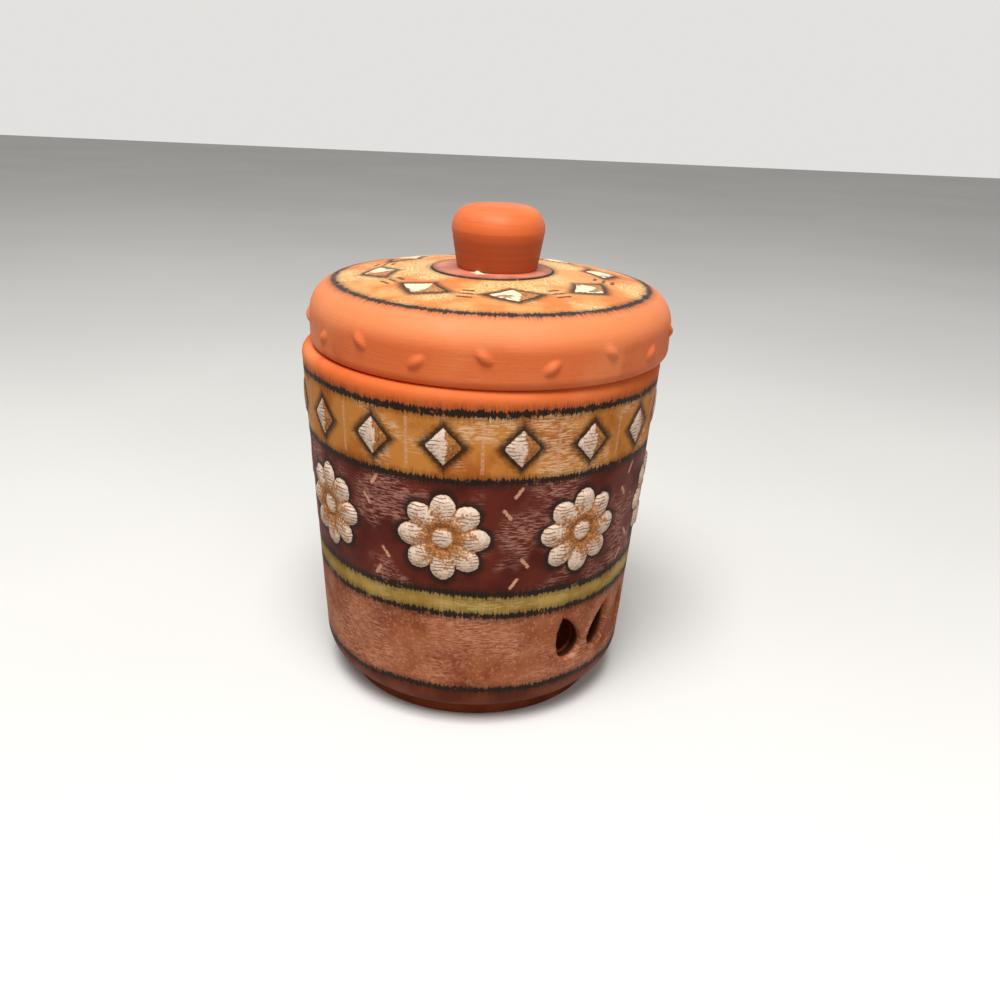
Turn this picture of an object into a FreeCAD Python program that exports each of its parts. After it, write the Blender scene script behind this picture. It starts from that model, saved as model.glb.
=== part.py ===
import FreeCAD, Part
import os
import Sketcher

# A terracotta garlic keeper: a round jar with vent holes low in its wall, and a loose lid
# with a knob stuck on top. Millimetres, +Z up, origin on the jar's axis where its foot rests.
# The front is -Y. Azimuths are in degrees from the front, towards +X.

# Driving sizes

SIZES = {
    # Jar
    "jar_height": 124.4,
    "rim_radius": 63.1,
    "rim_wall": 6.5,
    "waist_radius": 56.0,
    "waist_wall": 6.2,
    "floor_thickness": 7.0,
    "foot_radius": 48.0,
    "foot_height": 4.0,
    "foot_ring_width": 7.0,
    "foot_recess": 2.5,
    "base_corner": 13.0,
    "inner_corner": 9.0,
    "rim_outer_round": 3.0,
    "rim_inner_round": 1.5,
    "foot_round": 1.0,
    "gallery_spare_depth": 3.0,
    # Vents in the jar's wall, each a drop with its point up, leaning left and right by turns
    "vent_length": 18.8,
    "vent_width": 11.0,
    "vent_height": 32.3,
    "vent_lean": 18.8,
    "vent_pitch": 17.0,
    "vent_count": 5,
    "vent_azimuth": 69.5,
    # Lid, with heights above the jar's rim
    "lid_inset": 0.6,
    "lid_edge_round": 3.0,
    "shoulder_height": 19.8,
    "shoulder_round": 10.7,
    "crown_radius": 283.0,
    "pad_radius": 20.9,
    "pad_height": 25.9,
    "pad_step": 0.4,
    "lid_wall": 6.6,
    "lid_inner_corner": 7.0,
    # The ring under the lid that keeps it on the jar
    "ring_depth": 8.0,
    "ring_wall": 5.5,
    "ring_round": 1.5,
    "lid_play": 2.9,
    "rest_gap": 0.3,
    # Raised pips round the lid's side, high and low by turns
    "pip_count": 19,
    "pip_azimuth": -1.8,
    "pip_low": 7.2,
    "pip_rise": 3.2,
    "pip_lean": 52.0,
    "pip_length": 6.4,
    "pip_width": 3.4,
    "pip_proud": 1.1,
    # Knob and what sticks it down
    "knob_foot_radius": 13.7,
    "knob_radius": 15.9,
    "knob_flare_height": 12.7,
    "knob_height": 20.9,
    "knob_top_round": 7.8,
    "knob_foot_round": 0.6,
    "knob_offset": 1.6,
    "bond_thickness": 0.3,
    "bond_margin": 0.5,
}

doc = FreeCAD.newDocument("garlic_keeper")
dims = doc.addObject("Spreadsheet::Sheet", "dims")
for row, (alias, value) in enumerate(SIZES.items(), 1):
    dims.set("A%d" % row, alias)
    dims.set("B%d" % row, str(value))
    dims.setAlias("B%d" % row, alias)
doc.recompute()

# Heights and radii that several features share, as formulas of the driving sizes

FLOOR_TOP = "(dims.foot_recess + dims.floor_thickness)"
BORE_RADIUS = "(dims.rim_radius - dims.rim_wall)"
GALLERY_BOTTOM = "(dims.jar_height - dims.ring_depth - dims.gallery_spare_depth)"
LID_RADIUS = "(dims.rim_radius - dims.lid_inset)"
RING_OUTER = "(%s - dims.lid_play)" % BORE_RADIUS
RING_INNER = "(%s - dims.ring_wall)" % RING_OUTER
CROWN_EDGE = "(dims.ring_depth + dims.pad_height - dims.pad_step)"
PAD_TOP = "(dims.ring_depth + dims.pad_height)"
LID_SHIFT = "(dims.lid_play - dims.rest_gap)"
TURNED = "rotation(vector(0; 1; 0); %s)"
LEANED = "rotation(vector(0; 0; 1); %s)"


def number(formula):
    """The value of a formula of the sheet's sizes."""
    return float(dims.evalExpression(str(formula)))


def new_body(label):
    """An empty body for one piece."""
    body = doc.addObject("PartDesign::Body", label)
    body.Label = label
    return body


def origin_item(body, role):
    """A plane or axis of the body's own origin."""
    return next(item for item in body.Origin.OriginFeatures if item.Role == role)


def new_sketch(body, name, plane="XZ_Plane"):
    """A sketch on one of the body's own planes."""
    sketch = body.newObject("Sketcher::SketchObject", name)
    sketch.AttachmentSupport = [(origin_item(body, plane), "")]
    sketch.MapMode = "FlatFace"
    return sketch


def bind(sketch, constraint, name, formula):
    """Add a sketch dimension and tie it to a formula."""
    index = sketch.addConstraint(constraint)
    sketch.renameConstraint(index, name)
    sketch.setExpression("Constraints." + name, formula)


def pin_point(sketch, line, end, name, across, up):
    """Fix one end of a sketch line at two formulas measured from the origin."""
    if across == "0":
        sketch.addConstraint(Sketcher.Constraint("PointOnObject", line, end, -2))
    else:
        side = Sketcher.Constraint("DistanceX", -1, 1, line, end, number(across))
        bind(sketch, side, name + "_across", across)
    if up == "0":
        sketch.addConstraint(Sketcher.Constraint("PointOnObject", line, end, -1))
    else:
        level = Sketcher.Constraint("DistanceY", -1, 1, line, end, number(up))
        bind(sketch, level, name + "_up", up)


def closed_outline(sketch, corners):
    """Join named corners, each (name, across, up), with lines into a closed outline."""
    places = [FreeCAD.Vector(number(across), number(up), 0) for _, across, up in corners]
    for index, place in enumerate(places):
        following = places[(index + 1) % len(places)]
        sketch.addGeometry(Part.LineSegment(place, following))
    for index, (name, across, up) in enumerate(corners):
        before = (index - 1) % len(corners)
        sketch.addConstraint(Sketcher.Constraint("Coincident", before, 2, index, 1))
        pin_point(sketch, index, 1, name, across, up)


def turned(body, kind, name, sketch):
    """Turn a sketch right round the body's upright axis, to add or to cut."""
    feature = body.newObject("PartDesign::" + kind, name)
    feature.Profile = sketch
    feature.ReferenceAxis = (origin_item(body, "Z_Axis"), [""])
    feature.Angle = 360
    doc.recompute()
    return feature


def circle_edges(feature, radius, height):
    """The names of the level circular edges of one radius at one height."""
    found = []
    for index, edge in enumerate(feature.Shape.Edges, 1):
        if edge.Curve.TypeId != "Part::GeomCircle":
            continue
        near_radius = abs(edge.Curve.Radius - number(radius)) < 0.01
        if near_radius and abs(edge.Curve.Center.z - number(height)) < 0.01:
            found.append("Edge%d" % index)
    if not found:
        raise RuntimeError("no edge of radius %s at height %s" % (radius, height))
    return found


def rounded(body, name, base, places, size):
    """Round the circular edges at the given (radius, height) places."""
    feature = body.newObject("PartDesign::Fillet", name)
    names = [edge for radius, height in places for edge in circle_edges(base, radius, height)]
    feature.Base = (base, names)
    feature.setExpression("Radius", size)
    doc.recompute()
    return feature


def disc_sketch(body, name, radius):
    """A circle about the upright axis, on the level plane through the body's origin."""
    sketch = new_sketch(body, name, "XY_Plane")
    circle = Part.Circle(FreeCAD.Vector(0, 0, 0), FreeCAD.Vector(0, 0, 1), number(radius))
    sketch.addGeometry(circle)
    sketch.addConstraint(Sketcher.Constraint("Coincident", 0, 3, -1, 1))
    bind(sketch, Sketcher.Constraint("Radius", 0, number(radius)), "radius", radius)
    return sketch


def removed(before, after, what):
    """Stop if a cut took nothing away."""
    if after.Shape.Volume > before.Shape.Volume - 1:
        raise RuntimeError("%s cut nothing" % what)


# Jar

def add_bowl(jar):
    """The jar's outside, solid: a flared drum with a well rounded lower corner."""
    outside = new_sketch(jar, "jar_outside")
    closed_outline(outside, [
        ("middle", "0", "dims.foot_height"),
        ("waist", "dims.waist_radius", "dims.foot_height"),
        ("rim", "dims.rim_radius", "dims.jar_height"),
        ("top", "0", "dims.jar_height"),
    ])
    drum = turned(jar, "Revolution", "jar_drum", outside)
    corner = [("dims.waist_radius", "dims.foot_height")]
    return rounded(jar, "jar_base_corner", drum, corner, "dims.base_corner")


def add_foot(jar):
    """The turned foot that the jar stands on, run up into the rounded corner."""
    foot = jar.newObject("PartDesign::Pad", "jar_foot")
    foot.Profile = disc_sketch(jar, "jar_foot_circle", "dims.foot_radius")
    foot.setExpression("Length", "dims.foot_height + dims.base_corner / 2")
    doc.recompute()
    return foot


def hollow_jar(jar, base):
    """The inside: straight in the gallery that takes the lid's ring, tapered below it."""
    inside = new_sketch(jar, "jar_inside")
    inner_foot = "dims.waist_radius - dims.waist_wall"
    closed_outline(inside, [
        ("middle", "0", FLOOR_TOP),
        ("corner", inner_foot, FLOOR_TOP),
        ("gallery", BORE_RADIUS, GALLERY_BOTTOM),
        ("mouth", BORE_RADIUS, "dims.jar_height"),
        ("top", "0", "dims.jar_height"),
    ])
    hollow = turned(jar, "Groove", "jar_hollow", inside)
    removed(base, hollow, "the jar's hollow")
    return rounded(jar, "jar_inner_corner", hollow, [(inner_foot, FLOOR_TOP)], "dims.inner_corner")


def recess_foot(jar, base):
    """The shallow recess that leaves a ring for the jar to stand on."""
    recess = jar.newObject("PartDesign::Pocket", "jar_foot_recess")
    inner = "dims.foot_radius - dims.foot_ring_width"
    recess.Profile = disc_sketch(jar, "jar_recess_circle", inner)
    recess.Reversed = True
    recess.setExpression("Length", "dims.foot_recess")
    doc.recompute()
    removed(base, recess, "the foot's recess")
    foot_edges = [("dims.foot_radius", "0"), (inner, "0")]
    feet = rounded(jar, "jar_foot_rounding", recess, foot_edges, "dims.foot_round")
    outer = [("dims.rim_radius", "dims.jar_height")]
    rim = rounded(jar, "jar_rim_outer", feet, outer, "dims.rim_outer_round")
    inner_rim = [(BORE_RADIUS, "dims.jar_height")]
    return rounded(jar, "jar_rim_inner", rim, inner_rim, "dims.rim_inner_round")


def drop_sketch(jar, index):
    """One vent's drop: a half circle below and two arcs that meet in a point above."""
    sketch = new_sketch(jar, "vent_%d" % index)
    side = "(%d - (dims.vent_count - 1) / 2)" % index
    lean = "(dims.vent_lean * %d)" % (1 if index % 2 == 0 else -1)
    turn = TURNED % (side + " * dims.vent_pitch")
    centre = "vector(0; dims.vent_height; 0)"
    place = "placement(%s; %s * %s)" % (centre, turn, LEANED % lean)
    sketch.setExpression("AttachmentOffset", place)
    half = number("dims.vent_width / 2")
    rise = number("dims.vent_length - dims.vent_width / 2")
    low = -number("dims.vent_length / 2") + half
    sweep = (rise * rise + half * half) / (2 * half)
    belly = FreeCAD.Vector(0, low, 0)
    point = FreeCAD.Vector(0, low + rise, 0)
    left = FreeCAD.Vector(-half, low, 0)
    right = FreeCAD.Vector(half, low, 0)
    part_way = FreeCAD.Vector(0, rise / 2, 0)
    bulge = sweep - half - (sweep * sweep - rise * rise / 4) ** 0.5
    right_middle = belly + part_way - FreeCAD.Vector(bulge, 0, 0)
    left_middle = belly + part_way + FreeCAD.Vector(bulge, 0, 0)
    bottom = belly - FreeCAD.Vector(0, half, 0)
    sketch.addGeometry(Part.Arc(left, bottom, right))
    sketch.addGeometry(Part.Arc(right, right_middle, point))
    sketch.addGeometry(Part.Arc(point, left_middle, left))
    join_drop(sketch)
    return sketch


def join_drop(sketch):
    """Close a drop's three arcs, level and true to the vent's sizes."""
    sketch.addConstraint(Sketcher.Constraint("Tangent", 0, 2, 1, 1))
    sketch.addConstraint(Sketcher.Constraint("Coincident", 1, 2, 2, 1))
    sketch.addConstraint(Sketcher.Constraint("Tangent", 2, 2, 0, 1))
    sketch.addConstraint(Sketcher.Constraint("PointOnObject", 0, 3, -2))
    sketch.addConstraint(Sketcher.Constraint("PointOnObject", 1, 2, -2))
    sketch.addConstraint(Sketcher.Constraint("Horizontal", 0, 1, 0, 2))
    belly = Sketcher.Constraint("Radius", 0, number("dims.vent_width / 2"))
    bind(sketch, belly, "belly", "dims.vent_width / 2")
    reach = Sketcher.Constraint("DistanceY", -1, 1, 1, 2, number("dims.vent_length / 2"))
    bind(sketch, reach, "point_up", "dims.vent_length / 2")
    rise = "dims.vent_length - dims.vent_width / 2"
    bind(sketch, Sketcher.Constraint("DistanceY", 0, 3, 1, 2, number(rise)), "rise", rise)


def cut_vent(jar, index, base):
    """Cut one vent outwards from the axis, through the wall on its own side only."""
    vent = jar.newObject("PartDesign::Pocket", "jar_vent_%d" % index)
    vent.Profile = drop_sketch(jar, index)
    vent.Reversed = True
    vent.setExpression("Length", "2 * dims.rim_radius")
    doc.recompute()
    removed(base, vent, "vent %d" % index)
    return vent


def make_jar():
    """The jar, turned so that its row of vents looks past the front to the right."""
    jar = new_body("jar")
    add_bowl(jar)
    foot = add_foot(jar)
    feature = recess_foot(jar, hollow_jar(jar, foot))
    for index in range(int(number("dims.vent_count"))):
        feature = cut_vent(jar, index, feature)
    jar.setExpression("Placement.Rotation", "rotation(vector(0; 0; 1); dims.vent_azimuth)")
    return jar


# Lid

def add_cap(lid):
    """The lid's section: pad, crown, side, seat, locating ring and hollow, turned in one go."""
    section = new_sketch(lid, "lid_section")
    ceiling = "%s - dims.lid_wall" % PAD_TOP
    corner_height = "dims.ring_depth + dims.shoulder_height"
    closed_outline(section, [
        ("top", "0", PAD_TOP),
        ("pad_edge", "dims.pad_radius", PAD_TOP),
        ("crown_edge", "dims.pad_radius", CROWN_EDGE),
        ("shoulder", LID_RADIUS, corner_height),
        ("side_foot", LID_RADIUS, "dims.ring_depth"),
        ("seat", RING_OUTER, "dims.ring_depth"),
        ("ring_outer", RING_OUTER, "0"),
        ("ring_inner", RING_INNER, "0"),
        ("ceiling_edge", RING_INNER, ceiling),
        ("ceiling", "0", ceiling),
    ])
    crown(section, 2)
    cap = turned(lid, "Revolution", "lid_cap", section)
    shoulder = [(LID_RADIUS, corner_height)]
    cap = rounded(lid, "lid_shoulder", cap, shoulder, "dims.shoulder_round")
    edge = [(LID_RADIUS, "dims.ring_depth")]
    cap = rounded(lid, "lid_edge", cap, edge, "dims.lid_edge_round")
    ring = [(RING_OUTER, "0"), (RING_INNER, "0")]
    cap = rounded(lid, "lid_ring_rounding", cap, ring, "dims.ring_round")
    return rounded(lid, "lid_inner_corner", cap, [(RING_INNER, ceiling)], "dims.lid_inner_corner")


def crown(section, chord):
    """Swell one line of the lid's section into the slightly crowned top."""
    line = section.Geometry[chord]
    start, end = line.StartPoint, line.EndPoint
    radius = number("dims.crown_radius")
    middle = (start + end) / 2
    across = FreeCAD.Vector(start.y - end.y, end.x - start.x, 0).normalize()
    half = start.distanceToPoint(end) / 2
    middle += across * (radius - (radius * radius - half * half) ** 0.5)
    section.setConstruction(chord, True)
    arc = section.addGeometry(Part.Arc(end, middle, start))
    section.addConstraint(Sketcher.Constraint("Coincident", arc, 1, chord, 2))
    section.addConstraint(Sketcher.Constraint("Coincident", arc, 2, chord, 1))
    bind(section, Sketcher.Constraint("Radius", arc, radius), "crown", "dims.crown_radius")


def add_pip(lid, index):
    """One grain-shaped pip, half sunk in the lid's side; even ones sit higher and lean left."""
    pip = lid.newObject("PartDesign::AdditiveEllipsoid", "lid_pip_%d" % index)
    pip.AttachmentSupport = [(origin_item(lid, "XZ_Plane"), "")]
    pip.MapMode = "FlatFace"
    place = "(%d - (dims.pip_count + 1) / 2)" % index
    azimuth = "(dims.pip_azimuth + %s * 360 / dims.pip_count)" % place
    high = 1 - index % 2
    height = "dims.ring_depth + dims.pip_low + %d * dims.pip_rise" % high
    lean = "(dims.pip_lean * %d)" % (1 if high else -1)
    across = "%s * sin(%s)" % (LID_RADIUS, azimuth)
    out = "%s * cos(%s)" % (LID_RADIUS, azimuth)
    centre = "vector(%s; %s; %s)" % (across, height, out)
    turn = "%s * %s" % (TURNED % azimuth, LEANED % lean)
    pip.setExpression("AttachmentOffset", "placement(%s; %s)" % (centre, turn))
    pip.setExpression("Radius1", "dims.pip_proud")
    pip.setExpression("Radius2", "dims.pip_width / 2")
    pip.setExpression("Radius3", "dims.pip_length / 2")
    doc.recompute()


def make_lid():
    """The lid, sitting on the jar's rim and pushed to one side by its play."""
    lid = new_body("lid")
    add_cap(lid)
    for index in range(1, int(number("dims.pip_count")) + 1):
        add_pip(lid, index)
    lid.setExpression("Placement.Base.x", LID_SHIFT)
    lid.setExpression("Placement.Base.z", "dims.jar_height - dims.ring_depth")
    return lid


# Knob and its bond

def make_bond():
    """The thin layer of adhesive under the knob, squeezed out a little all round."""
    bond = new_body("knob_bond")
    film = bond.newObject("PartDesign::Pad", "bond_film")
    film.Profile = disc_sketch(bond, "bond_circle", "dims.knob_foot_radius + dims.bond_margin")
    film.setExpression("Length", "dims.bond_thickness")
    bond.setExpression("Placement.Base.x", LID_SHIFT + " + dims.knob_offset")
    bond.setExpression("Placement.Base.z", "dims.jar_height + dims.pad_height")
    doc.recompute()
    return bond


def make_knob():
    """The solid knob: it flares from a narrow foot and rolls over into a flat top."""
    knob = new_body("knob")
    section = new_sketch(knob, "knob_section")
    closed_outline(section, [
        ("foot", "0", "0"),
        ("foot_edge", "dims.knob_foot_radius", "0"),
        ("flare", "dims.knob_radius", "dims.knob_flare_height"),
        ("crown", "dims.knob_radius", "dims.knob_height"),
        ("top", "0", "dims.knob_height"),
    ])
    grip = turned(knob, "Revolution", "knob_grip", section)
    top = [("dims.knob_radius", "dims.knob_height")]
    grip = rounded(knob, "knob_top", grip, top, "dims.knob_top_round")
    foot = [("dims.knob_foot_radius", "0")]
    rounded(knob, "knob_foot_rounding", grip, foot, "dims.knob_foot_round")
    knob.setExpression("Placement.Base.x", LID_SHIFT + " + dims.knob_offset")
    base = "dims.jar_height + dims.pad_height + dims.bond_thickness"
    knob.setExpression("Placement.Base.z", base)
    return knob


def write_pieces(pieces):
    """Check every object and piece, then write each piece's file."""
    doc.recompute()
    failed = [item.Label for item in doc.Objects if {"Invalid", "Error"} & set(item.State)]
    if failed:
        raise RuntimeError("failed: " + ", ".join(failed))
    for piece in pieces:
        if piece.Shape.isNull() or not piece.Shape.isValid():
            raise RuntimeError(piece.Label + " has no valid shape")
        if len(piece.Shape.Solids) != 1:
            raise RuntimeError(piece.Label + " is not one solid")
    os.makedirs("parts", exist_ok=True)
    for piece in pieces:
        piece.Shape.exportStep("parts/%s.step" % piece.Label)
        box = piece.Shape.BoundBox
        corners = (box.XMin, box.XMax, box.YMin, box.YMax, box.ZMin, box.ZMax)
        volume = piece.Shape.Volume / 1000
        print("%s %.1f cm3" % (piece.Label, volume), "%.2f %.2f %.2f %.2f %.2f %.2f" % corners)


write_pieces([make_jar(), make_lid(), make_bond(), make_knob()])
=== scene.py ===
import math

import bmesh
import bpy
from mathutils import Matrix, Vector, noise


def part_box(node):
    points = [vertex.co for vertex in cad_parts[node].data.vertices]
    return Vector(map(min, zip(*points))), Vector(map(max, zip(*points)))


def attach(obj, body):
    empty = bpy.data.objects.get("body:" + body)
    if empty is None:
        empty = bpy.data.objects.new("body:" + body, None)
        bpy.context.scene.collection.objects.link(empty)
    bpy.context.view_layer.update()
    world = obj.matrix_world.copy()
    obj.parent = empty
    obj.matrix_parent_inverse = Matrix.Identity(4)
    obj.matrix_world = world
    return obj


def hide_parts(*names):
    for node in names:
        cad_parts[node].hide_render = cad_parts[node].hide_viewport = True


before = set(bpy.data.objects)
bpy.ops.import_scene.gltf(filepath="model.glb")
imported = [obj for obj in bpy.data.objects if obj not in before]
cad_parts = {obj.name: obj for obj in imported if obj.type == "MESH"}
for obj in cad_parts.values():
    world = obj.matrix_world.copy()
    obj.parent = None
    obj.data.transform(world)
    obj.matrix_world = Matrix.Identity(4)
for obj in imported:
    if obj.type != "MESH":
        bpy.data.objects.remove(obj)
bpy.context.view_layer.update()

# Jar
# Pressed red earthenware with a wall of about 6 mm, fired once and left unglazed. The wall is
# cold painted in bands: ochre, maroon, olive and rose-brown, with raised cream ornaments, and
# umber lines brushed over each join. The rim is left bare and the foot is painted dark brown as painted
# shade.

MM = 0.001
JAR_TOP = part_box("jar")[1].z / MM
JAR_STEPS = 432
RIM_RADIUS = 63.1
RIM_WALL = 6.5
RIM_ROUND = 3.0
RIM_CLEAR = 3.5
BORE_RADIUS = RIM_RADIUS - RIM_WALL
MOUTH_ROUND = 1.5
GALLERY_DEPTH = 11.0
WAIST_RADIUS = 56.0
WAIST_WALL = 6.2
FOOT_RADIUS = 48.0
FOOT_HEIGHT = 4.0
FOOT_WALL_TOP = 4.72
FOOT_RING = 7.0
FOOT_RECESS = 2.5
FOOT_ROUND = 1.0
WALL_LEAN = (RIM_RADIUS - WAIST_RADIUS) / (JAR_TOP - FOOT_HEIGHT)
FLOOR_TOP = 9.5
FLOOR_ROUND = 9.0
BASE_CORNER = 13.0
BASE_SPREAD = 0.78
BASE_STEPS = 18
BASE_INSIDE = 50.0

# Heights at which the foot and each painted band end, with an umber line over each
FOOT_TOP = 16.2
ROSE_TOP = 46.5
OLIVE_TOP = 54.5
MAROON_TOP = 95.5
OCHRE_TOP = 117.6

ROSETTES = 8
ROSETTE_PETALS = 8
ROSETTE_RADIUS = 15.5
ROSETTE_HEIGHT = 75.0
ROSETTE_RELIEF = 1.0
ROSETTE_NOTCH = 0.30
ROSETTE_EYE = 3.6
ROSETTE_AZIMUTH = math.radians(-10)
LOZENGES = 16
LOZENGE_WIDTH = 12.5
LOZENGE_TALL = 13.0
LOZENGE_HEIGHT = 106.5
LOZENGE_RELIEF = 0.7
STRIPE_WIDTH = 1.1
STRIPE_TALL = 18.0
DASH_LENGTH = 5.2
DASH_WIDTH = 1.3

VENTS = 5
VENT_LENGTH = 18.8
VENT_WIDTH = 11.0
VENT_HEIGHT = 32.3
VENT_LEAN = math.radians(18.8)
VENT_PITCH = math.radians(17)
VENT_AZIMUTH = math.radians(69.5)
VENT_LIP = 0.9
VENT_END_STEPS = 16
VENT_SIDE_STEPS = 14
PEG_INSIDE = 40
PEG_REACH = 30

# Straight steps for each mm of a corner's rounding, and a run too long to be stepped again
ARC_STEPS = 1.4
ARC_RUN = 9.0
MERGED_WITHIN = 0.002


def arc_steps(rounding):
    """How many straight steps a rounded corner gets."""
    return max(4, round(rounding * ARC_STEPS))


def turned_shell(corners, steps, axis_x=0.0):
    """Turn an outline right round an upright axis.

    Each corner is (radius, height, rounding, step of the run that follows), in mm."""
    shell = bmesh.new()
    points = [shell.verts.new((radius * MM, 0, height * MM)) for radius, height, _, _ in corners]
    for start, end in zip(points, points[1:]):
        shell.edges.new((start, end))
    steps_along = {}
    for start, end, corner in zip(points, points[1:], corners):
        run = shell.edges.get((start, end))
        steps_along[run] = max(1, round(run.calc_length() / MM / corner[3]))
    for run, cuts in steps_along.items():
        if cuts > 1:
            bmesh.ops.subdivide_edges(shell, edges=[run], cuts=cuts - 1)
    spun = list(shell.verts) + list(shell.edges)
    bmesh.ops.spin(shell, geom=spun, cent=(0, 0, 0), axis=(0, 0, 1), angle=math.tau,
                   steps=steps, use_merge=True)
    bmesh.ops.remove_doubles(shell, verts=shell.verts, dist=MERGED_WITHIN * MM)
    bmesh.ops.recalc_face_normals(shell, faces=shell.faces)
    bmesh.ops.translate(shell, verts=shell.verts, vec=(axis_x * MM, 0, 0))
    return shell


def rounded_outline(corners):
    """Replace each rounded corner of an outline by points on its arc; tangent runs either side."""
    outline = []
    for index, (radius, height, rounding, step) in enumerate(corners):
        if not rounding:
            outline.append((radius, height, 0, step))
            continue
        here = Vector((radius, height))
        back = (Vector(corners[index - 1][:2]) - here).normalized()
        ahead = (Vector(corners[index + 1][:2]) - here).normalized()
        half = back.angle(ahead) / 2
        centre = here + (back + ahead).normalized() * rounding / math.sin(half)
        first = here + back * rounding / math.tan(half) - centre
        last = here + ahead * rounding / math.tan(half) - centre
        sweep = first.angle_signed(last)
        count = arc_steps(rounding)
        for turn in range(count + 1):
            arm = first.copy()
            arm.rotate(Matrix.Rotation(-sweep * turn / count, 2))
            spot = centre + arm
            outline.append((spot.x, spot.y, 0, step if turn == count else ARC_RUN))
    return outline


def wrapped(angle):
    """An angle brought between minus and plus half a turn."""
    return (angle + math.pi) % math.tau - math.pi


def azimuth_of(point, axis_x=0.0):
    """The angle of a point from the front, towards +X."""
    return math.atan2(point.x - axis_x * MM, -point.y)


def nearest(angle, first, count):
    """The angle from the nearest of a number of evenly spaced places round the axis."""
    pitch = math.tau / count
    return (angle - first + pitch / 2) % pitch - pitch / 2


def eased(value):
    """A smooth rise from 0 to 1."""
    value = min(1.0, max(0.0, value))
    return value * value * (3 - 2 * value)


def rosette(across, up):
    """Distance outside a rosette's edge, its relief and how deep its shading is, in mm and 0-1."""
    reach = math.hypot(across, up)
    rib = abs(math.cos(ROSETTE_PETALS / 2 * math.atan2(up, across)))
    edge = ROSETTE_RADIUS * (1 - ROSETTE_NOTCH + ROSETTE_NOTCH * rib ** 0.7)
    outside = reach - edge
    petal = eased(-outside / 2.4) * (0.35 + 0.65 * rib ** 0.8) * eased((reach - ROSETTE_EYE) / 2)
    eye = eased((ROSETTE_EYE + 0.4 - reach) / 1.6)
    inner = 1 - eased((reach - ROSETTE_EYE) / (edge - ROSETTE_EYE) * 1.25)
    turned_away = eased(math.sin(ROSETTE_PETALS * math.atan2(up, across)) * 2 + 0.3)
    side = 0.66 * turned_away * eased((edge - 0.8 - reach) / 4)
    shade = max(inner, 1 - eased(rib * 2.6), side) * (1 - 0.8 * eye)
    return outside, ROSETTE_RELIEF * max(petal, 0.8 * eye), shade


def lozenge(across, up, width, tall, relief):
    """Distance outside a lozenge's edge, its faceted relief and its shading on one side."""
    share = abs(across) * 2 / width + abs(up) * 2 / tall
    outside = (share - 1) * width * tall / math.hypot(width, tall) / 2
    facet = min(1.0, max(0.0, 1 - share))
    side = 0.9 if across > 0.12 * width * (1 - abs(up) * 2 / tall) else 0.15
    return outside, relief * (0.5 * eased(-outside / 0.9) + 0.5 * facet), side


def dash(across, up, lean):
    """Distance outside a short brush dash that leans by an angle."""
    along = across * math.sin(lean) + up * math.cos(lean)
    aside = across * math.cos(lean) - up * math.sin(lean)
    half = DASH_LENGTH / 2 - DASH_WIDTH / 2
    return math.hypot(max(0.0, abs(along) - half), aside) - DASH_WIDTH / 2


# Where the dashes stand in each gap between two rosettes: across, up, lean
GAP_DASHES = [(0, 16.5, 0.6), (-3.4, 9.0, -0.7), (3.4, -9.0, -0.7), (0, -16.5, 0.6)]


def jar_ornament(angle, height, radius):
    """The cream ornament nearest a place on the wall: distance outside, relief, shade, dash."""
    across = nearest(angle, ROSETTE_AZIMUTH, ROSETTES) * radius
    best = rosette(across, height - ROSETTE_HEIGHT)
    across = nearest(angle, ROSETTE_AZIMUTH, LOZENGES) * radius
    upper = lozenge(across, height - LOZENGE_HEIGHT, LOZENGE_WIDTH, LOZENGE_TALL, LOZENGE_RELIEF)
    if upper[0] < best[0]:
        best = upper
    half_pitch = math.pi / ROSETTES
    across = nearest(angle, ROSETTE_AZIMUTH + half_pitch, ROSETTES) * radius
    nearby = [dash(across - x, height - ROSETTE_HEIGHT - y, lean) for x, y, lean in GAP_DASHES]
    stripe = nearest(angle, ROSETTE_AZIMUTH + half_pitch / 2, LOZENGES) * radius
    pinstripe = max(abs(stripe) - STRIPE_WIDTH / 2, abs(height - LOZENGE_HEIGHT) - STRIPE_TALL / 2)
    return best[0], best[1], best[2], min(nearby + [pinstripe])


def drop_shape():
    """Half a drop's width, the rise from its round end's centre to its tip, its sides' radius."""
    half = VENT_WIDTH / 2
    rise = VENT_LENGTH - half
    return half, rise, (rise * rise + half * half) / (2 * half)


def drop_distance(aside, along):
    """Distance outside one drop, measured from the middle of its length."""
    half, _, sweep = drop_shape()
    along += VENT_LENGTH / 2 - half
    if along < 0:
        return math.hypot(aside, along) - half
    return math.hypot(abs(aside) + sweep - half, along) - sweep


def vent_gap(angle, height, radius):
    """Distance outside the nearest vent's drop, in mm."""
    best = 99.0
    for index in range(VENTS):
        side = index - (VENTS - 1) / 2
        lean = VENT_LEAN if index % 2 == 0 else -VENT_LEAN
        across = wrapped(angle - VENT_AZIMUTH - side * VENT_PITCH) * radius
        up = height - VENT_HEIGHT
        aside = across * math.cos(lean) + up * math.sin(lean)
        along = up * math.cos(lean) - across * math.sin(lean)
        best = min(best, drop_distance(aside, along))
    return best


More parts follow.
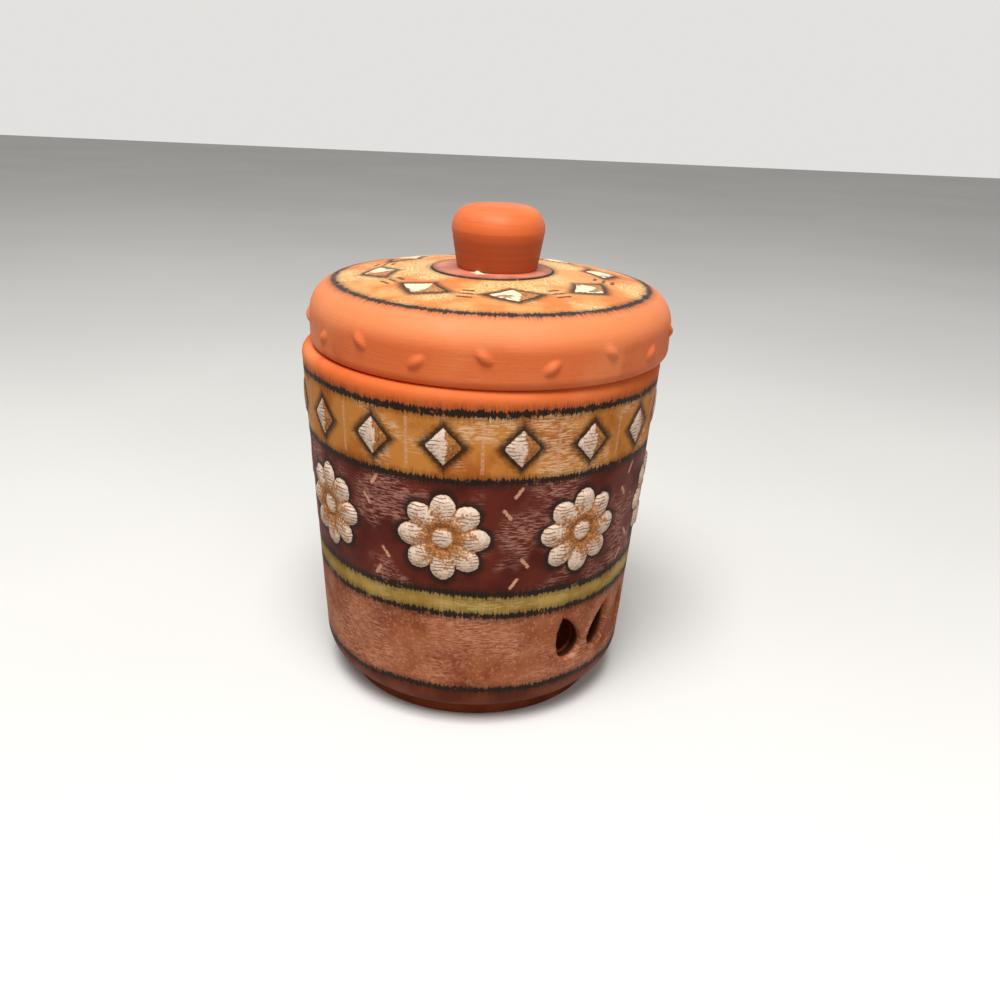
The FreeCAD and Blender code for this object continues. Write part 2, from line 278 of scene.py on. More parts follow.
def vent_cutter():
    """Five drop-shaped pegs, set out like the vents, to cut the wall with."""
    pegs = bmesh.new()
    half, rise, sweep = drop_shape()
    low = half - VENT_LENGTH / 2
    top_angle = math.asin(rise / sweep)
    outline = [(half * math.cos(t), low - half * math.sin(t)) for t in
               [math.pi * step / VENT_END_STEPS for step in range(VENT_END_STEPS, 0, -1)]]
    side = [(half - sweep + sweep * math.cos(t), low + sweep * math.sin(t)) for t in
            [top_angle * step / VENT_SIDE_STEPS for step in range(VENT_SIDE_STEPS + 1)]]
    outline += side + [(-x, y) for x, y in reversed(side[1:-1])]
    for index in range(VENTS):
        lean = VENT_LEAN if index % 2 == 0 else -VENT_LEAN
        turn = VENT_AZIMUTH + (index - (VENTS - 1) / 2) * VENT_PITCH
        ring = [pegs.verts.new((x * MM, -PEG_INSIDE * MM, y * MM)) for x, y in outline]
        face = pegs.faces.new(ring)
        grown = bmesh.ops.extrude_face_region(pegs, geom=[face])["geom"]
        outer = [item for item in grown if isinstance(item, bmesh.types.BMVert)]
        bmesh.ops.translate(pegs, verts=outer, vec=(0, -PEG_REACH * MM, 0))
        peg = ring + outer
        bmesh.ops.rotate(pegs, verts=peg, cent=(0, 0, 0), matrix=Matrix.Rotation(-lean, 3, "Y"))
        bmesh.ops.translate(pegs, verts=peg, vec=(0, 0, VENT_HEIGHT * MM))
        bmesh.ops.rotate(pegs, verts=peg, cent=(0, 0, 0), matrix=Matrix.Rotation(turn, 3, "Z"))
    bmesh.ops.recalc_face_normals(pegs, faces=pegs.faces)
    return finished("vent_cutter", pegs)


def finished(name, shell, crease=math.radians(50)):
    """Turn a bmesh into an object with smooth faces and its tight edges kept crisp."""
    for face in shell.faces:
        face.smooth = True
    for edge in shell.edges:
        if len(edge.link_faces) == 2 and edge.calc_face_angle(0) > crease:
            edge.smooth = False
    mesh = bpy.data.meshes.new(name)
    shell.to_mesh(mesh)
    shell.free()
    made = bpy.data.objects.new(name, mesh)
    bpy.context.scene.collection.objects.link(made)
    return made


def cut_with(made, cutter):
    """Cut one mesh out of another for good, and drop the cutter."""
    cut = made.modifiers.new("cut", "BOOLEAN")
    cut.operation = "DIFFERENCE"
    cut.solver = "EXACT"
    cut.object = cutter
    graph = bpy.context.evaluated_depsgraph_get()
    mesh = bpy.data.meshes.new_from_object(made.evaluated_get(graph))
    made.modifiers.clear()
    made.data = mesh
    bpy.data.objects.remove(cutter)


def write_ornament(mesh, found):
    """Keep each vertex's distance, shade and dash on its mesh, for the paint to read."""
    for name, place in (("cream", 0), ("shade", 2), ("dash", 3)):
        values = [ornament[place] for ornament in found]
        mesh.attributes.new(name, "FLOAT", "POINT").data.foreach_set("value", values)


jar_outline = rounded_outline([
    (0, FOOT_RECESS, 0, 6.0),
    (FOOT_RADIUS - FOOT_RING, FOOT_RECESS, 0, 2.0),
    (FOOT_RADIUS - FOOT_RING, 0, FOOT_ROUND, 2.0),
    (FOOT_RADIUS, 0, FOOT_ROUND, 1.0),
    (FOOT_RADIUS, FOOT_WALL_TOP, 0, 1.0),
])
# The rounded base from where it meets the foot up to the wall
base_centre_x = WAIST_RADIUS + BASE_SPREAD - BASE_CORNER
base_centre_z = FOOT_HEIGHT + BASE_CORNER
base_start = math.acos((FOOT_RADIUS - base_centre_x) / BASE_CORNER)
for step in range(1, BASE_STEPS + 1):
    turn = base_start * (1 - step / BASE_STEPS)
    spot_x = base_centre_x + BASE_CORNER * math.cos(turn)
    spot_z = base_centre_z - BASE_CORNER * math.sin(turn)
    jar_outline.append((spot_x, spot_z, 0, 0.8))
jar_outline += rounded_outline([
    (jar_outline[-1][0], jar_outline[-1][1], 0, 0.8),
    (RIM_RADIUS, JAR_TOP, RIM_ROUND, 1.0),
    (BORE_RADIUS, JAR_TOP, MOUTH_ROUND, 3.0),
    (BORE_RADIUS, JAR_TOP - GALLERY_DEPTH, 0, 5.0),
    (WAIST_RADIUS - WAIST_WALL, FLOOR_TOP, FLOOR_ROUND, 6.0),
    (0, FLOOR_TOP, 0, 6.0),
])[1:]


def on_wall(radius, height):
    """Whether a point is on the jar's outer face, clear of its foot and rim."""
    if height < FOOT_HEIGHT or height > JAR_TOP - RIM_CLEAR:
        return False
    if height <= FLOOR_TOP:
        return radius > BASE_INSIDE
    return radius > WAIST_RADIUS + (height - FOOT_HEIGHT) * WALL_LEAN - WAIST_WALL / 2


def unevenness(spot, relief):
    """How far a hand-pressed wall strays, in mm, with more on the maroon between its ornaments."""
    uneven = noise.noise(spot * 28) * 0.16 + noise.noise(spot * 90) * 0.05
    if OLIVE_TOP + 1.5 < spot.z / MM < MAROON_TOP - 1.5:
        uneven += noise.noise(spot * 120 + Vector((3, 0, 0))) * 0.32 * eased(1 - relief)
    return uneven


jar_shell = turned_shell(jar_outline, JAR_STEPS)
for vertex in jar_shell.verts:
    spot = vertex.co
    radius = math.hypot(spot.x, spot.y) / MM
    height = spot.z / MM
    if not on_wall(radius, height):
        continue
    angle = azimuth_of(spot)
    out = Vector((spot.x, spot.y, 0)).normalized()
    relief = jar_ornament(angle, height, radius)[1]
    uneven = unevenness(spot, relief)
    gap = vent_gap(angle, height, radius)
    lip = max(0.0, 1 - max(0.0, gap) / VENT_LIP)
    sunk = VENT_LIP * 0.7 * (1 - math.sqrt(max(0.0, 1 - lip * lip)))
    vertex.co += out * (relief + uneven * (1 - lip) - sunk) * MM

jar = finished("painted_jar", jar_shell)
cut_with(jar, vent_cutter())
write_ornament(jar.data, [
    jar_ornament(azimuth_of(v.co), v.co.z / MM, math.hypot(v.co.x, v.co.y) / MM)
    for v in jar.data.vertices])


def shown(red, green, blue):
    """A colour named as it looks, 0 to 255, as the shader wants it."""
    parts = [part / 255 for part in (red, green, blue)]
    return tuple(((p + 0.055) / 1.055) ** 2.4 if p > 0.04045 else p / 12.92 for p in parts) + (1,)


class Finish:
    """A surface's material, built up from plain nodes."""

    def __init__(self, name, centre_x=0.0):
        self.material = bpy.data.materials.new(name)
        self.material.use_nodes = True
        self.tree = self.material.node_tree
        self.shader = self.tree.nodes["Principled BSDF"]
        place = self.add("ShaderNodeTexCoord").outputs["Object"]
        self.place = self.shifted(place, (-centre_x * MM, 0, 0))
        split = self.add("ShaderNodeSeparateXYZ", {0: self.place})
        self.height = self.math("MULTIPLY", split.outputs[2], 1000)
        flat = self.add("ShaderNodeCombineXYZ", {0: split.outputs[0], 1: split.outputs[1]}).outputs[0]
        length = self.add("ShaderNodeVectorMath", {0: flat}, operation="LENGTH")
        self.radius = self.math("MULTIPLY", length.outputs["Value"], 1000)
        self.around = self.add("ShaderNodeVectorMath", {0: flat}, operation="NORMALIZE").outputs[0]

    def add(self, kind, inputs=None, **settings):
        """A node with its settings made and its inputs fed."""
        node = self.tree.nodes.new(kind)
        for setting, value in settings.items():
            setattr(node, setting, value)
        for socket, value in (inputs or {}).items():
            self.feed(node.inputs[socket], value)
        return node

    def feed(self, socket, value):
        """Link or set one input."""
        if isinstance(value, bpy.types.NodeSocket):
            self.tree.links.new(value, socket)
        else:
            socket.default_value = value

    def math(self, operation, first, second=0.0, third=0.0):
        """One sum."""
        return self.add("ShaderNodeMath", {0: first, 1: second, 2: third}, operation=operation).outputs[0]

    def shifted(self, vector, offset, scale=(1, 1, 1)):
        """A vector moved and stretched."""
        node = self.add("ShaderNodeMapping", {"Vector": vector, "Location": offset, "Scale": scale})
        return node.outputs[0]

    def grain(self, scale, stretch=(1, 1, 1), detail=3.0, roughness=0.55, offset=(0, 0, 0)):
        """Noise of so many grains to the metre, stretched along the axes."""
        vector = self.shifted(self.place, offset, stretch)
        inputs = {"Vector": vector, "Scale": scale, "Detail": detail, "Roughness": roughness}
        return self.add("ShaderNodeTexNoise", inputs).outputs[0]

    def hairs(self, along, ring_radius, fine=1500, stretch=0.12):
        """Noise drawn out into hairs that run along one direction, all round the axis."""
        circle = {0: self.around, "Scale": ring_radius * MM}
        ring = self.add("ShaderNodeVectorMath", circle, operation="SCALE")
        run = self.add("ShaderNodeCombineXYZ", {2: self.math("MULTIPLY", along, stretch * MM)})
        place = self.add("ShaderNodeVectorMath", {0: ring.outputs[0], 1: run.outputs[0]}, operation="ADD")
        inputs = {"Vector": place.outputs[0], "Scale": fine, "Detail": 3.0, "Roughness": 0.7}
        return self.add("ShaderNodeTexNoise", inputs).outputs[0]

    def ramp(self, value, low, high, start=0.0, end=1.0):
        """A smooth step from start to end as the value goes from low to high."""
        inputs = {"Value": value, "From Min": low, "From Max": high, "To Min": start, "To Max": end}
        node = self.add("ShaderNodeMapRange", inputs, interpolation_type="SMOOTHSTEP")
        return node.outputs[0]

    def over(self, below, above, cover):
        """One colour painted over another. A Mix node's colours are sockets 6 and 7, and 2 out."""
        node = self.add("ShaderNodeMix", data_type="RGBA")
        self.feed(node.inputs[0], cover)
        self.feed(node.inputs[6], below)
        self.feed(node.inputs[7], above)
        return node.outputs[2]

    def stored(self, name):
        """A number kept on the mesh."""
        return self.add("ShaderNodeAttribute", attribute_name=name).outputs["Fac"]

    def both(self, first, second):
        """Two covers multiplied."""
        return self.math("MULTIPLY", first, second)

    def bumped(self, height, distance):
        """Fine relief on the surface, in mm."""
        node = self.add("ShaderNodeBump", {"Height": height, "Distance": distance * MM, "Strength": 1.0})
        self.feed(self.shader.inputs["Normal"], node.outputs[0])

    def surfaced(self, colour, roughness, sheen=0.5):
        """Give the surface its colour, roughness and sheen."""
        self.feed(self.shader.inputs["Base Color"], colour)
        self.feed(self.shader.inputs["Roughness"], roughness)
        self.shader.inputs["Specular IOR Level"].default_value = sheen


TERRACOTTA = shown(220, 106, 50)
TERRACOTTA_PALE = shown(234, 136, 82)
TERRACOTTA_DEEP = shown(184, 80, 34)
UMBER = shown(32, 19, 11)


def bare_clay(finish):
    """Unglazed fired clay: warm, cloudy, with fine paler dust and sponge marks."""
    clouds = finish.grain(26, detail=4)
    colour = finish.over(TERRACOTTA, TERRACOTTA_PALE, finish.ramp(clouds, 0.42, 0.78))
    scorched = finish.ramp(finish.grain(60, detail=5), 0.56, 0.80, 0, 0.6)
    colour = finish.over(colour, TERRACOTTA_DEEP, scorched)
    speck = finish.ramp(finish.grain(1500, detail=2), 0.62, 0.75, 0, 0.28)
    return finish.over(colour, TERRACOTTA_PALE, speck)


def bristled(finish, distance, half_width, hairs, hair_length):
    """How much a brushed line covers, with hairs across its edge and a thin smoke beyond it."""
    pulled = finish.math("MULTIPLY", finish.math("SUBTRACT", hairs, 0.5), -hair_length * 3)
    ragged = finish.math("ADD", distance, pulled)
    cover = finish.ramp(ragged, half_width - 0.3, half_width + 0.3, 1.0, 0.0)
    worn = finish.ramp(finish.grain(420, detail=4), 0.30, 0.42, 0.6, 1.0)
    smoke = finish.ramp(ragged, half_width, half_width + 2.4, 0.42, 0.0)
    return finish.math("MAXIMUM", finish.both(cover, worn), smoke)


def cream_paint(finish, colour, cream_light, cream_shadow):
    """The raised cream ornaments: hatched, with ochre washed into their hollows and a dark halo."""
    outside = finish.stored("cream")
    shade = finish.stored("shade")
    smoke = finish.grain(900, detail=3)
    spread = finish.math("ADD", outside, finish.math("MULTIPLY", smoke, 2.2))
    colour = finish.over(colour, UMBER, finish.ramp(spread, 1.3, 4.4, 0.95, 0.0))
    stipple = finish.grain(1300, detail=2, roughness=0.7)
    cream = finish.over(cream_light, cream_shadow, finish.ramp(stipple, 0.46, 0.62))
    level = finish.math("ADD", finish.height, finish.math("MULTIPLY", finish.grain(120, detail=2), 3.0))
    strokes = finish.math("SINE", finish.math("MULTIPLY", level, 5.0))
    broken = finish.ramp(finish.grain(230, detail=3), 0.44, 0.56)
    hatching = finish.both(finish.ramp(strokes, 0.35, 0.85, 0, 0.85), broken)
    cream = finish.over(cream, shown(128, 84, 58), hatching)
    wash = finish.math("ADD", shade, finish.math("MULTIPLY", finish.math("SUBTRACT", stipple, 0.5), 1.5))
    cream = finish.over(cream, shown(178, 112, 48), finish.ramp(wash, 0.35, 0.80, 0, 0.95))
    cream = finish.over(cream, shown(108, 58, 22), finish.ramp(wash, 0.85, 1.15, 0, 0.75))
    edge = finish.math("ADD", outside, finish.math("MULTIPLY", finish.math("SUBTRACT", smoke, 0.5), 0.9))
    return finish.over(colour, cream, finish.ramp(edge, -0.45, -0.1, 1.0, 0.0))


def band(finish, colour, paint, low, high):
    """A painted band between two heights."""
    inside = finish.both(finish.ramp(finish.height, low - 0.1, low + 0.1),
                         finish.ramp(finish.height, high - 0.1, high + 0.1, 1.0, 0.0))
    return finish.over(colour, paint, inside)


def dry_brushed(finish, paint, pale, amount, offset):
    """Paler paint dragged over a colour in patches of fine level strokes."""
    patches = finish.ramp(finish.grain(55, detail=2, offset=offset), 0.45, 0.62)
    strokes = finish.grain(1500, (0.22, 0.22, 1.4), detail=3, roughness=0.65, offset=offset)
    return finish.over(paint, pale, finish.both(patches, finish.ramp(strokes, 0.44, 0.60, 0, amount)))


def fine_edge(finish, distance):
    """A brush mark's distance with fine grain on it, so that its edge breaks up."""
    return finish.math("ADD", distance, finish.math("MULTIPLY", finish.grain(1200), 0.9))


jar_finish = Finish("painted terracotta")
bare = bare_clay(jar_finish)
clouding = jar_finish.grain(70, detail=4, offset=(0.3, 0, 0))
speckle = jar_finish.grain(800, detail=4, roughness=0.7)
ochre = jar_finish.over(shown(208, 136, 62), shown(182, 102, 38), jar_finish.ramp(clouding, 0.45, 0.65))
ochre = dry_brushed(jar_finish, ochre, shown(240, 198, 156), 0.9, (0, 0, 0.1))
ochre = jar_finish.over(ochre, shown(126, 78, 28), jar_finish.ramp(speckle, 0.60, 0.72, 0, 0.5))
maroon = jar_finish.over(shown(100, 38, 25), shown(78, 25, 16), jar_finish.ramp(clouding, 0.4, 0.7))
maroon = dry_brushed(jar_finish, maroon, shown(196, 142, 126), 0.75, (0.2, 0, 0))
olive = jar_finish.over(shown(190, 158, 84), shown(164, 128, 58), jar_finish.ramp(clouding, 0.4, 0.6))
olive = dry_brushed(jar_finish, olive, shown(214, 190, 128), 0.6, (0, 0.2, 0))
rose = jar_finish.over(shown(170, 100, 66), shown(138, 70, 42), jar_finish.ramp(clouding, 0.4, 0.65))
rose = jar_finish.over(rose, shown(218, 150, 116), jar_finish.ramp(speckle, 0.50, 0.66, 0, 0.55))
rose = dry_brushed(jar_finish, rose, shown(222, 158, 126), 0.7, (0.1, 0.1, 0))
colour = band(jar_finish, bare, rose, FOOT_TOP, ROSE_TOP)
colour = band(jar_finish, colour, olive, ROSE_TOP, OLIVE_TOP)
colour = band(jar_finish, colour, maroon, OLIVE_TOP, MAROON_TOP)
colour = band(jar_finish, colour, ochre, MAROON_TOP, OCHRE_TOP)
# Painted shade: the foot below the lowest umber line is painted dark brown, for the shade under the jar
foot_painted_shade = jar_finish.over(shown(122, 54, 24), shown(96, 38, 15), jar_finish.ramp(clouding, 0.4, 0.65))
foot_shade_cover = jar_finish.ramp(jar_finish.height, FOOT_TOP - 0.4, FOOT_TOP + 0.2, 1.0, 0.0)
colour = jar_finish.over(colour, foot_painted_shade, foot_shade_cover)
dashes = fine_edge(jar_finish, jar_finish.stored("dash"))
colour = jar_finish.over(colour, shown(226, 168, 136), jar_finish.ramp(dashes, 0.2, 0.55, 0.9, 0.0))
colour = cream_paint(jar_finish, colour, shown(244, 222, 202), shown(222, 186, 164))
combed = jar_finish.hairs(jar_finish.height, 60)
wobble = jar_finish.math("MULTIPLY", jar_finish.math("SUBTRACT", jar_finish.grain(40, detail=1), 0.5), 2.2)
for level in (FOOT_TOP, ROSE_TOP, OLIVE_TOP, MAROON_TOP, OCHRE_TOP):
    away = jar_finish.math("ADD", jar_finish.math("SUBTRACT", jar_finish.height, level), wobble)
    line = bristled(jar_finish, jar_finish.math("ABSOLUTE", away), 1.15, combed, 1.6)
    colour = jar_finish.over(colour, UMBER, line)

# The cut wall of the vents is painted dark brown deep in the clay as painted shade in the holes, and the
# pot's inside is bare
flared = jar_finish.math("MULTIPLY", jar_finish.height, WALL_LEAN)
depth = jar_finish.math("SUBTRACT", jar_finish.radius, flared)
above_floor = jar_finish.ramp(jar_finish.height, FLOOR_TOP - 1, FLOOR_TOP)
below_bands = jar_finish.ramp(jar_finish.height, ROSE_TOP - 2.5, ROSE_TOP - 0.5, 1.0, 0.0)
by_vents = jar_finish.both(above_floor, below_bands)
vent_painted_shade = jar_finish.both(jar_finish.ramp(depth, WAIST_RADIUS - 3.4, WAIST_RADIUS - 1.8, 1.0, 0.0), by_vents)
colour = jar_finish.over(colour, shown(84, 38, 22), vent_painted_shade)
inner_skin = WAIST_RADIUS - WAIST_WALL + 0.5
inside = jar_finish.both(jar_finish.ramp(depth, inner_skin, inner_skin + 0.4, 1.0, 0.0), above_floor)
colour = jar_finish.over(colour, bare, inside)
jar_finish.surfaced(colour, jar_finish.ramp(clouding, 0.3, 0.7, 0.56, 0.72), 0.16)
jar_finish.bumped(jar_finish.grain(1100, detail=5, roughness=0.6), 0.10)
jar.data.materials.append(jar_finish.material)
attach(jar, "jar")
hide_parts("jar")

# Lid
# A pressed cap of the same clay: its ring drops into the jar's mouth with play to spare, so it
# rests pushed to one side. The top is painted ochre with cream lozenges and closed by an umber
# line; the side is bare clay with grain-shaped pips, and its shoulder has a paler painted highlight.

LID_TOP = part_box("lid")[1].z / MM
LID_SEAT = JAR_TOP
LID_AXIS = 2.6
LID_RADIUS = 62.5
LID_STEPS = 640
LID_EDGE_ROUND = 3.0
RING_PLAY = 2.9
RING_WALL = 5.5
RING_DEPTH = 8
RING_ROUND = 1.5
RING_OUTER = BORE_RADIUS - RING_PLAY
RING_INNER = RING_OUTER - RING_WALL
PAD_RADIUS = 20.9
PAD_STEP = 0.4
CROWN_RADIUS = 283.0
CROWN_SHARE = 0.78
CROWN_STEPS = 7
SHOULDER_TOP = LID_SEAT + 19.8
SHOULDER_ROUND = 10.7
CROWN_WALL = 6.6
CEILING = LID_TOP - CROWN_WALL
CEILING_ROUND = 7.0
PIPS = 19
PIP_AZIMUTH = math.radians(-1.8)
PIP_LOW = 7.2
PIP_RISE = 3.2
PIP_LEAN = math.radians(52)
PIP_LENGTH = 6.6
PIP_WIDTH = 3.8
PIP_PROUD = 1.1
LID_MOTIFS = 8
LID_MOTIF_AZIMUTH = 0.18
LID_MOTIF_RADIUS = 38.5
LID_MOTIF_LONG = 18.0
LID_MOTIF_WIDE = 11.0
LID_MOTIF_RELIEF = 0.45
LID_DASH_GAP = 3.0
LID_LINE_RADIUS = 54.1

crown_drop = CROWN_RADIUS - math.sqrt(CROWN_RADIUS ** 2 - LID_RADIUS ** 2)
crown_top = SHOULDER_TOP + crown_drop
crown_points = []
for step in range(1, CROWN_STEPS + 1):
    radius = PAD_RADIUS + (LID_RADIUS - PAD_RADIUS) * CROWN_SHARE * step / CROWN_STEPS
    rise = math.sqrt(CROWN_RADIUS ** 2 - radius ** 2)
    crown_points.append((radius, crown_top - CROWN_RADIUS + rise, 0, 0.8))
pad_edge = LID_TOP - PAD_STEP
lid_outline = rounded_outline([
    (0, LID_TOP, 0, 3.0),
    (PAD_RADIUS, LID_TOP, 0.35, 0.3),
    (PAD_RADIUS + 0.1, pad_edge, 0, 0.8),
] + crown_points + [
    (LID_RADIUS, SHOULDER_TOP, SHOULDER_ROUND, 0.55),
    (LID_RADIUS, LID_SEAT, LID_EDGE_ROUND, 2.0),
    (RING_OUTER, LID_SEAT, 0, 2.0),
    (RING_OUTER, LID_SEAT - RING_DEPTH, RING_ROUND, 2.0),
    (RING_INNER, LID_SEAT - RING_DEPTH, RING_ROUND, 3.0),
    (RING_INNER, CEILING, CEILING_ROUND, 4.0),
    (0, CEILING, 0, 4.0),
])


def pip_relief(angle, above):
    """How far the lid's side stands out at an angle and a height above its seat, for its pips."""
    pitch = math.tau / PIPS
    index = round(wrapped(angle - PIP_AZIMUTH) / pitch)
    across = wrapped(angle - PIP_AZIMUTH - index * pitch) * LID_RADIUS
    high = index % 2 == 0
    up = above - PIP_LOW - (PIP_RISE if high else 0)
    lean = -PIP_LEAN if high else PIP_LEAN
    along = across * math.sin(lean) + up * math.cos(lean)
    aside = across * math.cos(lean) - up * math.sin(lean)
    share = math.hypot(along * 2 / PIP_LENGTH, aside * 2 / PIP_WIDTH)
    return PIP_PROUD * eased(1.08 - share) ** 0.62


def lid_ornament(angle, radius):
    """The ornament nearest a place on the lid's top: distance outside, relief, shade, dash."""
    across = nearest(angle, LID_MOTIF_AZIMUTH, LID_MOTIFS) * LID_MOTIF_RADIUS
    up = radius - LID_MOTIF_RADIUS
    outside, relief, shade = lozenge(across, up, LID_MOTIF_LONG, LID_MOTIF_WIDE, LID_MOTIF_RELIEF)
    between = LID_MOTIF_AZIMUTH + math.pi / LID_MOTIFS
    across = nearest(angle, between, LID_MOTIFS) * LID_MOTIF_RADIUS
    shifts = (-LID_DASH_GAP, 0.0, LID_DASH_GAP)
    near = min(dash(across, up - shift, math.pi / 2) for shift in shifts)
    return outside, relief, shade, near


lid_shell = turned_shell(lid_outline, LID_STEPS, LID_AXIS)
for vertex in lid_shell.verts:
    spot = vertex.co
    out = Vector((spot.x - LID_AXIS * MM, spot.y, 0))
    radius = out.length / MM
    height = spot.z / MM
    angle = azimuth_of(spot, LID_AXIS)
    if radius > LID_RADIUS - 0.5 and height > LID_SEAT + 1:
        vertex.co += out.normalized() * pip_relief(angle, height - LID_SEAT) * MM
    if PAD_RADIUS + 1 < radius < LID_LINE_RADIUS - 1.1 and height > CEILING + 1.5:
        vertex.co.z += lid_ornament(angle, radius)[1] * MM
    outer_top = radius > 30 and height > CEILING - 1
    if outer_top or radius > 58:
        vertex.co += out.normalized() * noise.noise(spot * 26) * 0.14 * MM
lid = finished("painted_lid", lid_shell)
write_ornament(lid.data, [
    lid_ornament(azimuth_of(v.co, LID_AXIS), math.hypot(v.co.x - LID_AXIS * MM, v.co.y) / MM)
    for v in lid.data.vertices])

lid_finish = Finish("painted lid", LID_AXIS)
clay = bare_clay(lid_finish)
# Painted highlight: the shoulder is painted paler towards its top
shoulder_highlight = lid_finish.ramp(lid_finish.height, LID_SEAT + 10.5, LID_SEAT + 16.5, 0.0, 0.85)
clay = lid_finish.over(clay, TERRACOTTA_PALE, shoulder_highlight)
clouding = lid_finish.grain(60, detail=4)
top_paint = lid_finish.over(shown(226, 158, 92), shown(212, 124, 62), lid_finish.ramp(clouding, 0.42, 0.62))
patches = lid_finish.ramp(lid_finish.grain(48, detail=2, offset=(0.1, 0, 0)), 0.45, 0.60)
sponge = lid_finish.ramp(lid_finish.grain(1300, detail=2), 0.45, 0.56, 0, 0.85)
top_paint = lid_finish.over(top_paint, shown(246, 214, 152), lid_finish.both(patches, sponge))
upper = lid_finish.ramp(lid_finish.height, CEILING, CEILING + 0.5)
within_line = lid_finish.ramp(lid_finish.radius, LID_LINE_RADIUS - 0.1, LID_LINE_RADIUS + 0.1, 1.0, 0.0)
in_top = lid_finish.both(within_line, upper)
dashes = fine_edge(lid_finish, lid_finish.stored("dash"))
painted = lid_finish.over(top_paint, UMBER, lid_finish.ramp(dashes, 0.2, 0.6, 0.85, 0.0))
painted = cream_paint(lid_finish, painted, shown(250, 232, 200), shown(240, 204, 158))
pad_paint = lid_finish.over(shown(216, 134, 106), shown(178, 108, 88), lid_finish.ramp(clouding, 0.4, 0.6))
on_pad = lid_finish.ramp(lid_finish.radius, PAD_RADIUS - 0.2, PAD_RADIUS + 0.2, 1.0, 0.0)
painted = lid_finish.over(painted, pad_paint, on_pad)
colour = lid_finish.over(clay, painted, in_top)
for ring_radius, half_width, hair_length in ((LID_LINE_RADIUS, 1.15, 1.6), (PAD_RADIUS, 0.55, 0.35)):
    away = lid_finish.math("ABSOLUTE", lid_finish.math("SUBTRACT", lid_finish.radius, ring_radius))
    combed = lid_finish.hairs(lid_finish.radius, ring_radius)
    brushed = bristled(lid_finish, away, half_width, combed, hair_length)
    colour = lid_finish.over(colour, UMBER, lid_finish.both(brushed, upper))
lid_finish.surfaced(colour, lid_finish.ramp(clouding, 0.3, 0.7, 0.50, 0.66), 0.42)
wheel_marks = lid_finish.grain(700, (0.12, 0.12, 1.8), detail=3)
lid_finish.bumped(lid_finish.math("ADD", lid_finish.grain(1000, detail=5, roughness=0.6), wheel_marks), 0.08)
lid.data.materials.append(lid_finish.material)
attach(lid, "lid")
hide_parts("lid")

# Knob bond
# Hard cream adhesive that holds the knob to the pad. Clay dust has darkened the thin line of it
# round the knob's foot, and one pale fleck is squeezed out towards the front left.

BOND_LOW, BOND_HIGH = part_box("knob_bond")
KNOB_AXIS = (BOND_LOW.x + BOND_HIGH.x) / 2 / MM
BOND_RADIUS = (BOND_HIGH.x - BOND_LOW.x) / 2 / MM
BOND_BASE = BOND_LOW.z / MM
BOND_TOP = BOND_HIGH.z / MM
BOND_STEPS = 160
FLECK_AZIMUTH = math.radians(-28)
FLECK_SWELL = 1.1
FLECK_RISE = 0.7
bond_outline = rounded_outline([
    (0, BOND_TOP, 0, 6.0),
    (BOND_RADIUS - 0.35, BOND_TOP, 0.1, 0.3),
    (BOND_RADIUS - 0.1, BOND_BASE, 0, 6.0),
    (0, BOND_BASE, 0, 6.0),
])
bond_shell = turned_shell(bond_outline, BOND_STEPS, KNOB_AXIS)
fleck = Vector((math.sin(FLECK_AZIMUTH), -math.cos(FLECK_AZIMUTH), 0))
for vertex in bond_shell.verts:
    out = Vector((vertex.co.x - KNOB_AXIS * MM, vertex.co.y, 0))
    if out.length / MM < BOND_RADIUS - 1:
        continue
    near = out.normalized().angle(fleck)
    swell = math.exp(-(near / 0.07) ** 2) * FLECK_SWELL + noise.noise(vertex.co * 300) * 0.12
    vertex.co += out.normalized() * swell * MM
    if vertex.co.z / MM > BOND_BASE + 0.15:
        vertex.co.z += math.exp(-(near / 0.06) ** 2) * FLECK_RISE * MM
bond = finished("glue_line", bond_shell)
glue = Finish("hard glue", KNOB_AXIS)
lumps = glue.grain(500, detail=3)
colour = glue.over(shown(216, 178, 140), shown(240, 224, 196), glue.ramp(lumps, 0.4, 0.6))
side = glue.add("ShaderNodeVectorMath", {0: glue.place, 1: tuple(fleck)}, operation="DOT_PRODUCT")
blob = glue.ramp(glue.math("MULTIPLY", side.outputs["Value"], 1000), BOND_RADIUS - 0.7, BOND_RADIUS - 0.2)
colour = glue.over(shown(190, 98, 62), colour, blob)
glue.surfaced(colour, glue.ramp(lumps, 0.3, 0.7, 0.45, 0.65))
glue.bumped(lumps, 0.08)
bond.data.materials.append(glue.material)
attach(bond, "lid")
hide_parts("knob_bond")

# Knob
# Turned from a solid lump of the same clay and left bare: it flares from a narrow foot and rolls
# over into a soft, slightly domed top, with faint turning rings down its side.

KNOB_LOW, KNOB_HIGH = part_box("knob")
KNOB_BASE = KNOB_LOW.z / MM
KNOB_TOP = KNOB_HIGH.z / MM
KNOB_RADIUS = (KNOB_HIGH.x - KNOB_LOW.x) / 2 / MM
KNOB_FOOT = 13.7
KNOB_FLARE = 12.7
KNOB_CROWN = 0.5
KNOB_TOP_ROUND = 7.4
KNOB_FLARE_ROUND = 1.4
KNOB_FOOT_ROUND = 0.6
KNOB_STEPS = 192
knob_widest = KNOB_RADIUS - 0.05
knob_outline = rounded_outline([
    (0, KNOB_TOP, 0, 0.8),
    (knob_widest, KNOB_TOP - KNOB_CROWN, KNOB_TOP_ROUND, 0.6),
    (knob_widest, KNOB_BASE + KNOB_FLARE, KNOB_FLARE_ROUND, 0.6),
    (KNOB_FOOT, KNOB_BASE, KNOB_FOOT_ROUND, 1.0),
    (0, KNOB_BASE, 0, 5.0),
])
knob_shell = turned_shell(knob_outline, KNOB_STEPS, KNOB_AXIS)
